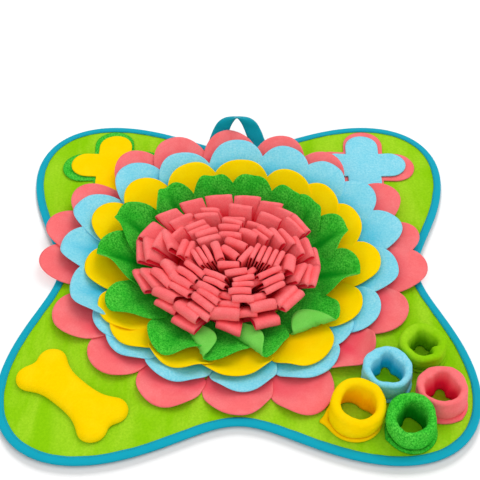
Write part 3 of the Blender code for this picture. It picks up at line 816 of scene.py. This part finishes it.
# Bunches of strips as they lie, clockwise from the back and then inwards. x, y, z: middle of
# the bunch's crests; heading: degrees of the crests from +X; width of a strip; gap: half the
# hollow inside its fold; and for more than one strip their count and how far apart they are.
bunchColumns = ("x", "y", "z", "heading", "width", "gap", "count", "pitch")
usualBunch = {"count": 1, "pitch": 0}
stripBunches = (
    # rim
    (-28, 106, 45, 6, 37, 4.6), (13, 104, 45, -4, 38, 4.8), (46, 92, 45, -12, 33, 4.0),
    (64, 81, 42, -30, 28, 3.8), (82, 54, 44, -57, 38, 4.0, 2, 10), (95, 12, 43, -76, 36, 4.4),
    (105, 0, 36, -82, 34, 3.6), (97, -36, 40, 75, 35, 4.2, 2, 10),
    (67, -77, 43, 49, 38, 5.0, 2, 11), (32, -90, 44, 12, 35, 7.0), (37, -109, 33, 14, 32, 6.0),
    (-17, -100, 41, -3, 37, 8.0), (-13, -116, 30, -24, 34, 5.0), (-67, -97, 40, -38, 40, 6.4),
    (-70, -111, 30, -36, 36, 4.6), (-95, -69, 41, -28, 34, 7.0), (-94, -83, 32, -33, 34, 4.4),
    (-117, -42, 40, -58, 42, 4.6), (-130, -38, 32, -62, 40, 4.2), (-123, 9, 42, -80, 42, 5.2),
    (-135, 14, 34, -86, 40, 4.0), (-125, 47, 40, 60, 34, 5.0), (-99, 76, 43, 30, 32, 4.8),
    (-66, 96, 44, 20, 33, 4.8),
    # second row
    (3, 80, 51, -12, 33, 4.6), (44, 62, 50, -30, 33, 4.8), (66, 24, 51, -60, 33, 4.4),
    (81, 10, 49, -72, 34, 4.0), (82, -38, 47, 68, 34, 4.0), (47, -66, 51, 35, 30, 4.2),
    (6, -83, 49, 0, 29, 5.0), (-52, -99, 42, -42, 38, 4.2), (-46, -86, 47, -45, 38, 5.0),
    (-77, -65, 48, -38, 33, 4.6), (-101, -45, 47, -52, 37, 5.0), (-90, -33, 50, -58, 38, 6.6),
    (-108, 24, 46, 68, 34, 4.4), (-96, 21, 49, -70, 36, 5.2), (-79, 59, 50, 35, 34, 5.0),
    (-39, 76, 50, -5, 27, 3.8), (-44, 64, 52, 8, 32, 4.6),
    # inner bunches
    (-56, 38, 55, 30, 31, 4.6, 2, 12), (-41, 21, 58, 20, 31, 4.8, 2, 13),
    (-8, 47, 57, -18, 29, 4.0), (-12, 36, 58, -3, 29, 4.6), (-11, 20, 60, -6, 30, 4.2),
    (-3, 5, 61, -27, 31, 5.0), (-11, -10, 60, -40, 27, 5.6), (14, 24, 58, -26, 27, 5.0),
    (33, 27, 56, -44, 27, 4.2, 2, 11), (52, 23, 54, -60, 33, 5.0), (10, -17, 60, 54, 30, 4.2),
    (38, -16, 58, 68, 29, 3.4, 5, 8.6), (68, -24, 53, 80, 27, 8.0), (-28, -8, 60, -72, 31, 6.2),
    (-48, -16, 58, -65, 31, 3.2, 3, 8.0), (-70, 0, 55, 75, 29, 4.2, 2, 11),
    (-57, -37, 56, -47, 34, 4.4), (-67, -45, 54, -42, 33, 4.8), (-75, -54, 51, -36, 33, 5.2),
    (-31, -49, 57, -30, 31, 4.4), (-31, -60, 55, -30, 31, 4.2), (-39, -69, 53, -33, 33, 4.8),
    (-39, -79, 50, -42, 35, 4.2), (-13, -33, 60, -3, 29, 4.6), (-3, -45, 58, 8, 29, 4.4),
    (7, -54, 56, 14, 28, 3.8), (6, -63, 54, 7, 29, 3.6), (2, -72, 52, 2, 29, 4.6),
    (40, -44, 56, 28, 33, 4.4), (45, -55, 54, 30, 31, 4.6),
    # lower ones, between the bunches
    (13, -40, 48, 50, 26, 4.4), (22, -52, 45, 40, 26, 4.4), (-23, -19, 50, -60, 26, 4.4),
    (56, -34, 46, 60, 26, 4.4), (-52, -60, 45, -40, 28, 4.4), (-12, -86, 41, -5, 28, 4.4),
    (-20, -72, 44, -20, 24, 4.2), (-62, -22, 47, -62, 26, 4.4), (10, -98, 37, 5, 28, 4.6),
    (23, -78, 45, 22, 26, 4.4), (-6, 62, 46, -4, 30, 4.6), (24, 50, 47, -24, 26, 4.4),
    (-58, 62, 42, 30, 28, 4.6), (-84, 40, 42, 55, 28, 4.6),
)


def stripMiddle(look, crest):
    # the middle line of a strip, from the backing up to its crest
    root = Vector([look["rootCentre"][k]
                   + look["rootShare"] * (crest[k] - look["crestCentre"][k]) for k in range(2)]
                  + [look["rootZ"]])
    line = []
    for k in range(look["along"] + 1):
        up = math.sin(k / look["along"] * math.pi / 2)
        out = up ** look["bow"]
        line.append(Vector((mixed(root.x, crest[0], out), mixed(root.y, crest[1], out),
                            mixed(root.z, crest[2], up))))
    return line


def stripGrid(look, crest, heading, width, gap, sag):
    steps = look["along"]
    middle = stripMiddle(look, crest)
    side = Vector((math.cos(heading), math.sin(heading), 0))
    outer = []
    inner = []
    for k, place in enumerate(middle):
        along = (middle[min(k + 1, steps)] - middle[max(k - 1, 0)]).normalized()
        face = side.cross(along).normalized()
        half = mixed(look["rootGap"], gap, smoothStep(*look["opened"], k / steps))
        outer.append(place + face * half)
        inner.append(place - face * half)
    crown = []
    for k in range(1, steps):
        turn = math.pi * k / steps
        crown.append(middle[-1] + gap * (math.cos(turn) * face
                                         + look["crown"] * math.sin(turn) * along))
    unevenX, unevenY, unevenZ = look["uneven"]
    rows = []
    for place in outer + crown + inner[::-1]:
        loose = smoothStep(*look["loose"], place.z)
        line = []
        for j in range(look["across"] + 1):
            s = 2 * j / look["across"] - 1
            point = place + side * s * width / 2
            uneven = waver(point.x, point.y, point.z, look["unevenSize"]) * loose
            line.append((point.x + unevenX * uneven, point.y + unevenY * uneven,
                         point.z - sag * s * s * loose + unevenZ * uneven))
        rows.append(line)
    return rows


def makeStrips(look):
    chance = random.Random(look["seed"])
    points = []
    faces = []
    for values in stripBunches:
        bunch = usualBunch | dict(zip(bunchColumns, values))
        for i in range(bunch["count"]):
            heading = math.radians(bunch["heading"] + chance.uniform(*look["headingChance"]))
            step = (i - (bunch["count"] - 1) / 2) * bunch["pitch"]
            crest = (bunch["x"] - step * math.sin(heading), bunch["y"] + step * math.cos(heading),
                     bunch["z"] - look["crestDrop"] * bunch["gap"]
                     + chance.uniform(*look["heightChance"]))
            width = bunch["width"] * chance.uniform(*look["widthChance"])
            gap = bunch["gap"] - look["fleece"] / 2
            addGrid(points, faces,
                    stripGrid(look, crest, heading, width, gap, chance.uniform(*look["sag"])))
    # the inner faces of the folds take the copy with painted shade
    piece = meshPiece("foldedStrips", points, faces, [fleece["strip"], fleece["stripShadedCopy"]])
    # painted shade: darker the lower a point lies in the cluster, lighter farther from its middle
    paintShade(piece, [1 - smoothStep(*look["shade"], z + look["shadeSlope"] * math.hypot(x, y))
                       for x, y, z in points])
    thicken(piece, look["fleece"], backMaterial=1, softEdge=0.6)
    dress(piece, "pink_fleece", "loops")
    width, length = look["flat"]


def makeBacking(look):
    x, y = look["rootCentre"]
    rows = []
    for share in look["backingRings"]:
        radius = share * look["backing"]
        rows.append([(x + radius * math.cos(angle), y + radius * math.sin(angle),
                      look["backingZ"]) for angle in fullTurn(look["backingSteps"])])
    # the backing, seen only deep in the gaps, takes the copy with painted shade too
    piece = gridPiece("stripBacking", rows, [fleece["stripShadedCopy"]], closed=True, lids=(-1,))
    thicken(piece, look["fleece"])
    dress(piece, "pink_fleece")
    radius = look["backing"] * mm


makeBacking(clusterLook)
makeStrips(clusterLook)


# at: place; half: outer half widths; tilt: how much the back of the rim is higher than its
# middle; lean and footShift: how far the rim and the foot stand off the place; foot: radius
# of the sewn foot; roll: thickness of the rolled rim; funnel: how much further in the inner
# layer ends than it starts; squeeze: direction in which its lower end is pressed in, and how
# far; corner: direction in which the foot's cloth sticks out, and how far; pleats: folds of
# the inner layer, each with its direction, its depth and how far it runs out to each side
cups = (
    {"cloth": "yellow", "at": (143, -234), "half": (33.5, 33), "height": 37, "tilt": 4.5,
     "lean": (1, 1), "foot": 34.5, "footShift": (-3, -2.5), "roll": 12.5, "funnel": -4,
     "squeeze": (52, 11), "corner": (186, 10), "pleats": ((62, 1.5, 26, 30),)},
    {"cloth": "blue", "at": (184, -179), "half": (30.5, 30.5), "height": 38, "tilt": 2,
     "lean": (-1, -3), "foot": 32, "footShift": (0, -4), "roll": 8.5, "funnel": 3,
     "squeeze": (0, 0), "corner": (80, 0), "pleats": ((48, 8.5, 26, 44), (132, 8.5, 44, 26))},
    {"cloth": "green", "at": (205, -253), "half": (29.5, 30.5), "height": 41, "tilt": 4.5,
     "lean": (-1, -1), "foot": 32, "footShift": (2, -1), "roll": 10, "funnel": 1,
     "squeeze": (20, 3), "corner": (200, 3), "pleats": ((140, 8, 46, 40), (60, 2, 20, 30))},
    {"cloth": "pink", "at": (248, -210), "half": (31, 28.5), "height": 40, "tilt": 2,
     "lean": (-2, -1), "foot": 30.5, "footShift": (0, -5), "roll": 7.5, "funnel": 4,
     "squeeze": (20, 2), "corner": (-50, 2), "pleats": ((40, 9, 28, 44), (130, 8, 44, 28))},
    {"cloth": "lime", "at": (233, -139), "half": (29.5, 28.5), "height": 37, "tilt": 1.5,
     "lean": (-2, -4), "foot": 31, "footShift": (0, 0), "roll": 10, "funnel": 3,
     "squeeze": (30, 2), "corner": (-60, 2),
     "pleats": ((138, 6, 40, 40), (46, 6, 40, 40), (-30, 9, 8, 20))},
)
# What all cups share. footRows and seamRows: (inset, share of the height) of the cloth at the
# foot and at the seam above it; belly: how far the side bulges out; rimWave, swell and dent:
# depth and size of the unevenness, and the radius and the rise over which its pattern runs;
# ranges such as pleated are where something begins and is full.
cupLook = {"fleece": 2.1, "steps": 96, "bottom": 4.9,
           "footRows": ((0, 0.0), (0.3, 0.035), (1.2, 0.06)),
           "seamRows": ((2.3, 0.09), (2.6, 0.115), (1.6, 0.15)),
           "sideRows": 8, "sideInset": 0.8, "belly": 1.5, "sideFrom": 0.17, "sideRun": 0.60,
           "rimRows": 10, "innerRows": 10, "pleated": (0.45, 1.0), "pleatAtRim": 0.65,
           "rimWave": (2.0, 15, 20, 0), "swell": (1.7, 15, 22, 20), "dent": (0.8, 9, 30, 40),
           "swollen": (0.0, 0.3),
           "cornerWidth": 9, "cornerTop": (0.0, 0.09), "inner": (0.6, 1.0),
           "innerDark": (1.05, 0.35), "outerDark": (0.1, 0.4), "outerShade": 0.2,
           "stitchInset": 2.5, "stitchShare": 0.115, "stitch": (4.4, 3.4, 0.35),
           "flatAround": 0.88, "flatHeight": 2.15}


def cupProfile(cup):
    # rows of (inset from the outer half width, share of the height, drop below it, layer) from
    # the foot over the rim and down inside: the layer is 0 outside, 1 on the inner layer
    look = cupLook
    half = look["fleece"] / 2
    foot = half + min(cup["half"]) - cup["foot"]
    rim = cup["roll"] / 2 - half
    rows = [(foot + inset, share, 0, 0) for inset, share in look["footRows"]]
    rows += [(half + inset, share, 0, 0) for inset, share in look["seamRows"]]
    for k in range(1, look["sideRows"] + 1):
        bulge = look["belly"] * math.sin(math.pi * k / (look["sideRows"] + 1))
        rows.append((half + look["sideInset"] - bulge,
                     look["sideFrom"] + look["sideRun"] * k / look["sideRows"], 0, 0))
    for k in range(look["rimRows"] + 1):
        over = k / look["rimRows"]
        rows.append((half + rim * (1 - math.cos(math.pi * over)), 1.0,
                     rim * (1 - math.sin(math.pi * over)), over))
    for k in range(1, look["innerRows"] + 1):
        down = k / look["innerRows"]
        rows.append((half + 2 * rim + cup["funnel"] * down, 1 - down, rim * (1 - down), 1))
    return rows


def degreesOff(angle, direction):
    return math.degrees(math.remainder(angle - math.radians(direction), 2 * math.pi))


def pleatDepth(cup, angle):
    depth = 0.0
    for direction, deep, before, after in cup["pleats"]:
        off = degreesOff(angle, direction)
        depth += deep * math.exp(-(off / (before if off > 0 else after)) ** 2)
    return depth


def unevenCup(kind, angle, share, start):
    # start is another one for each cup, so that no two are alike
    depth, size, radius, rise = cupLook[kind]
    return depth * waver(math.cos(angle) * radius, math.sin(angle) * radius,
                         start + share * rise, size)


def cupPoint(cup, inset, share, drop, layer, angle):
    look = cupLook
    pleat = pleatDepth(cup, angle) * smoothStep(*look["pleated"], layer)
    pleat *= mixed(1.0, look["pleatAtRim"], share)
    direction, pressed = cup["squeeze"]
    pleat += pressed * (1 - share) * layer ** 3 * math.cos(angle - math.radians(direction)) ** 2
    swell = unevenCup("swell", angle, share, cup["at"][1])
    swell += unevenCup("dent", angle, share, cup["at"][0])
    inset += pleat - swell * smoothStep(*look["swollen"], share)
    low = 0.0
    if layer == 0:
        low = (1 - share) ** 2
        direction, out = cup["corner"]
        pointed = math.exp(-abs(degreesOff(angle, direction)) / look["cornerWidth"])
        inset -= out * pointed * (1 - smoothStep(*look["cornerTop"], share))
    x, y = [cup["at"][k] + cup["lean"][k] * share + cup["footShift"][k] * low for k in range(2)]
    top = cup["height"] + cup["tilt"] * math.sin(angle) - look["fleece"] / 2
    top += unevenCup("rimWave", angle, share, cup["at"][0])
    return (x + (cup["half"][0] - inset) * math.cos(angle),
            y + (cup["half"][1] - inset) * math.sin(angle),
            mixed(look["bottom"], top, share) - drop)


def makeCup(cup):
    look = cupLook
    cloth = cup["cloth"]
    angles = fullTurn(look["steps"])
    rows = []
    shade = []
    for inset, share, drop, layer in cupProfile(cup):
        rows.append([cupPoint(cup, inset, share, drop, layer, angle) for angle in angles])
        # painted shade: deep inside the cup, and a little low on its outside near the foot
        dark = smoothStep(*look["inner"], layer) * smoothStep(*look["innerDark"], share)
        if layer == 0:
            dark += look["outerShade"] * (1 - smoothStep(*look["outerDark"], share))
        shade += [dark] * look["steps"]
    piece = gridPiece(cloth + "Cup", rows, [fleece[cloth]], closed=True)
    paintShade(piece, shade)
    thicken(piece, look["fleece"], softEdge=0.6)
    dress(piece, cloth + "_fleece", "cup_" + cloth)
    ring = [cupPoint(cup, look["stitchInset"], look["stitchShare"], 0, 0, angle)
            for angle in angles]
    seam = sewLines(cloth + "CupSeam", [ring], True, cloth, cloth + "_fleece", look["stitch"])


for cup in cups:
    makeCup(cup)
print("cups ready")


# The bone is drawn at the origin, along X. lobe and radius: the round of each knuckle, over
# the degrees of arc; shaft: points of its side; notch: the dip between two knuckles; spineX
# and spineY: the line over which it is highest. rim holds (share of the way from the edge to
# the spine, share of the height) of its sewn rim, and crown the powers of its upper curve.
boneLook = {"at": (-205.0, -203.0), "turn": -41.7, "lobe": (55.5, 17.5), "radius": 19.0,
            "shaft": ((0, 22.5), (9, 22.5), (18, 22.8), (26, 24.0), (33, 26.4), (38.5, 29.0)),
            "arc": (132, -42), "arcSteps": 16, "notch": 67.5, "spineX": 40.0, "spineY": 15.0,
            "edgeRounds": 2, "spineRounds": 6, "bottom": 4.2, "height": 12.4,
            "rim": ((0.5, 0.0), (0.2, 0.0), (0.06, 0.02), (0.015, 0.12), (0.0, 0.26)),
            "rings": 22, "ringPower": 1.5, "spineShare": 0.97, "crown": (3.2, 1.7),
            "crinkle": 1.0, "crinkleSize": 8, "crinkleFade": 7, "crinkleFrom": 0.1,
            "swell": 0.7, "swellSize": 24, "swellFrom": 0.3, "swollen": (0, 0.3)}


def boneOutline(look):
    # pairs of an edge point and the spine point that it rises to
    quarter = [((x, y), (x, 0.0)) for x, y in look["shaft"]]
    lobeX, lobeY = look["lobe"]
    for k in range(look["arcSteps"] + 1):
        angle = math.radians(mixed(*look["arc"], k / look["arcSteps"]))
        quarter.append(((lobeX + look["radius"] * math.cos(angle),
                         lobeY + look["radius"] * math.sin(angle)), (lobeX, look["spineY"])))
    quarter.append(((look["notch"], 0.0), (look["spineX"], 0.0)))
    right = quarter + [((x, -y), (ax, -ay)) for (x, y), (ax, ay) in reversed(quarter[:-1])]
    left = [((-x, -y), (-ax, -ay)) for (x, y), (ax, ay) in right]
    return right + left[1:-1]


def softened(values, rounds):
    # evens out neighbouring points of a closed line
    for _ in range(rounds):
        after = values[1:] + values[:1]
        before = values[-1:] + values[:-1]
        values = [((ax + 2 * x + bx) / 4, (ay + 2 * y + by) / 4)
                  for (ax, ay), (x, y), (bx, by) in zip(before, values, after)]
    return values


def boneProfile(look):
    # (share of the way from the edge to the spine, share of the height), from the underside up
    sharp, full = look["crown"]
    profile = list(look["rim"])
    for k in range(1, look["rings"] + 1):
        share = (k / look["rings"]) ** look["ringPower"] * look["spineShare"]
        crown = (1 - (1 - share) ** sharp) ** (1 / full)
        profile.append((share, mixed(look["rim"][-1][1], 1.0, crown)))
    return profile


def makeBone(look):
    outline = boneOutline(look)
    edge = softened([point for point, _ in outline], look["edgeRounds"])
    spine = softened([anchor for _, anchor in outline], look["spineRounds"])
    turn = math.radians(look["turn"])
    rows = []
    for share, level in boneProfile(look):
        row = []
        for (x, y), (ax, ay) in zip(edge, spine):
            px, py = mixed(x, ax, share), mixed(y, ay, share)
            z = look["bottom"] + look["height"] * level
            if level > look["crinkleFrom"]:
                crinkle = look["crinkle"] * waver(x, y, 5, look["crinkleSize"])
                z += crinkle * math.exp(-share * look["crinkleFade"])
            if level > look["swellFrom"]:
                swell = look["swell"] * waver(px, py, 17, look["swellSize"])
                z += swell * smoothStep(*look["swollen"], share)
            row.append((look["at"][0] + px * math.cos(turn) - py * math.sin(turn),
                        look["at"][1] + px * math.sin(turn) + py * math.cos(turn), z))
        rows.append(row)
    bone = gridPiece("paddedBone", rows, [fleece["yellow"]], closed=True, lids=(0, -1))
    faceOutward(bone)
    dress(bone, "yellow_fleece", "bone")


makeBone(boneLook)
print("bone ready")


# The right half of the loop's path, up to its top; there the webbing's width runs along
# topWay. twist: how late it turns over on its way up; cupped: how far its middle stands out
# at the top; box: where the sewn box begins and ends, and boxInset how far it lies from the
# edges.
handleLook = {"centreX": -2.5, "width": 25.0, "thickness": 1.7, "twist": 1.7, "cupped": 0.5,
              "path": ((33.5, 220, 6.7), (33.2, 244, 6.7), (32, 254, 9.5), (28, 262.5, 18),
                       (23.2, 268.5, 28.5), (17.6, 270.1, 40), (9.5, 269.5, 49.0),
                       (0, 267.5, 52.5)),
              "topWay": (0.0, -0.82, 0.57), "finer": 8, "across": 8, "box": (221, 240),
              "boxInset": 2.5, "boxSteps": 8, "stitchLift": 0.1, "stitch": (3.2, 2.5, 0.3)}


def curveThrough(path, finer):
    # a smooth curve through all points of the path, in `finer` steps from each to the next
    smooth = []
    for i in range(len(path) - 1):
        a, b, c, d = (Vector(path[k])
                      for k in (max(i - 1, 0), i, i + 1, min(i + 2, len(path) - 1)))
        for k in range(finer):
            t = k / finer
            smooth.append(0.5 * (2 * b + (c - a) * t + (2 * a - 5 * b + 4 * c - d) * t * t
                                 + (3 * b - a - 3 * c + d) * t ** 3))
    smooth.append(Vector(path[-1]))
    return smooth


def loopBoxes(look):
    # the stitched boxes at both ends of the loop, as single lines
    rootX, _, rootZ = look["path"][0]
    z = rootZ + look["thickness"] / 2 + look["stitchLift"]
    half = look["width"] / 2 - look["boxInset"]
    near, far = look["box"]
    steps = look["boxSteps"]
    lines = []
    for x in (look["centreX"] - rootX, look["centreX"] + rootX):
        box = ((x - half, near), (x + half, near), (x + half, far), (x - half, far),
               (x - half, near))
        for a, b in zip(box, box[1:]):
            lines.append([(mixed(a[0], b[0], k / steps), mixed(a[1], b[1], k / steps), z)
                          for k in range(steps + 1)])
    return lines


def makeHandle(look):
    right = list(look["path"])
    left = [(-x, y, z) for x, y, z in right[:-1]]
    path = curveThrough(left + right[::-1], look["finer"])
    columns = []
    for i, place in enumerate(path):
        along = (path[min(i + 1, len(path) - 1)] - path[max(i - 1, 0)]).normalized()
        overTop = max(1 - abs(place.x) / right[0][0], 0.0) ** look["twist"]
        turn = math.pi / 2 * overTop
        side = Vector((math.copysign(math.cos(turn), -place.x), 0, 0))
        side += math.sin(turn) * Vector(look["topWay"])
        face = along.cross(side).normalized()
        line = []
        for j in range(look["across"] + 1):
            s = 2 * j / look["across"] - 1
            cupped = look["cupped"] * (1 - s * s) * overTop
            point = place + side * s * look["width"] / 2 + face * cupped
            line.append((point.x + look["centreX"], point.y, point.z))
        columns.append(line)
    rows = [[column[j] for column in columns] for j in range(look["across"] + 1)]
    piece = gridPiece("carryLoop", rows, [woven["webbing"]])
    mapTape(piece, rows)
    thicken(piece, look["thickness"], softEdge=0.75)
    dress(piece, "teal_webbing", "handle")
    seam = sewLines("carryLoopStitches", loopBoxes(look), False, "teal", "teal_webbing",
                    look["stitch"])


makeHandle(handleLook)
print("carry loop ready")


# Each corner flower has two four-lobed layers: length from the middle to a lobe's tip, width
# of a lobe, the degrees by which the layer is turned (the other way at the right), and how far
# its edge rises from the middle.
cornerLook = {"fleece": 1.9, "steps": 160, "rings": 18, "seamZ": 5.1, "step": 2.3,
              "rises": (0.35, 1.0), "uneven": 0.7, "unevenSize": 20, "wavy": (0.3, 0.9),
              "layers": ({"length": 76, "width": 59, "turn": 3.0, "rise": 0.8},
                         {"length": 63, "width": 49, "turn": 0.0, "rise": 2.2}),
              "flowers": ({"cloths": ("green", "yellow"), "at": (-187, 210), "way": 1},
                          {"cloths": ("pink", "blue"), "at": (187, 210), "way": -1})}


def cloverRadius(angle, length, width):
    offAxis = abs(math.remainder(angle, math.pi / 2))
    lobe = width / 2
    centre = length - lobe
    if offAxis > math.atan2(lobe, centre):
        return lobe / math.sin(offAxis)
    return centre * math.cos(offAxis) + math.sqrt(lobe ** 2 - (centre * math.sin(offAxis)) ** 2)


def makeCornerLayer(look, flower, number):
    layer = look["layers"][number]
    cloth = flower["cloths"][number]
    length, width = layer["length"], layer["width"]
    turn = math.radians(layer["turn"] * flower["way"])
    rows = []
    for ring in range(look["rings"], 0, -1):
        row = []
        for angle in fullTurn(look["steps"]):
            radius = ring / look["rings"] * cloverRadius(angle, length, width)
            x = flower["at"][0] + radius * math.cos(angle + turn)
            y = flower["at"][1] + radius * math.sin(angle + turn)
            share = radius / length
            z = look["seamZ"] + look["step"] * number
            z += layer["rise"] * smoothStep(*look["rises"], share)
            uneven = look["uneven"] * waver(x, y, number * 9, look["unevenSize"])
            row.append((x, y, z + uneven * smoothStep(*look["wavy"], share)))
        rows.append(row)
    piece = gridPiece("corner" + cloth.capitalize(), rows, [fleece[cloth]], closed=True,
                      lids=(-1,))
    faceOutward(piece)
    thicken(piece, look["fleece"], softEdge=0.55)
    dress(piece, cloth + "_fleece", "flower_" + cloth)


for flower in cornerLook["flowers"]:
    for number in range(len(cornerLook["layers"])):
        makeCornerLayer(cornerLook, flower, number)
print("corner flowers ready")
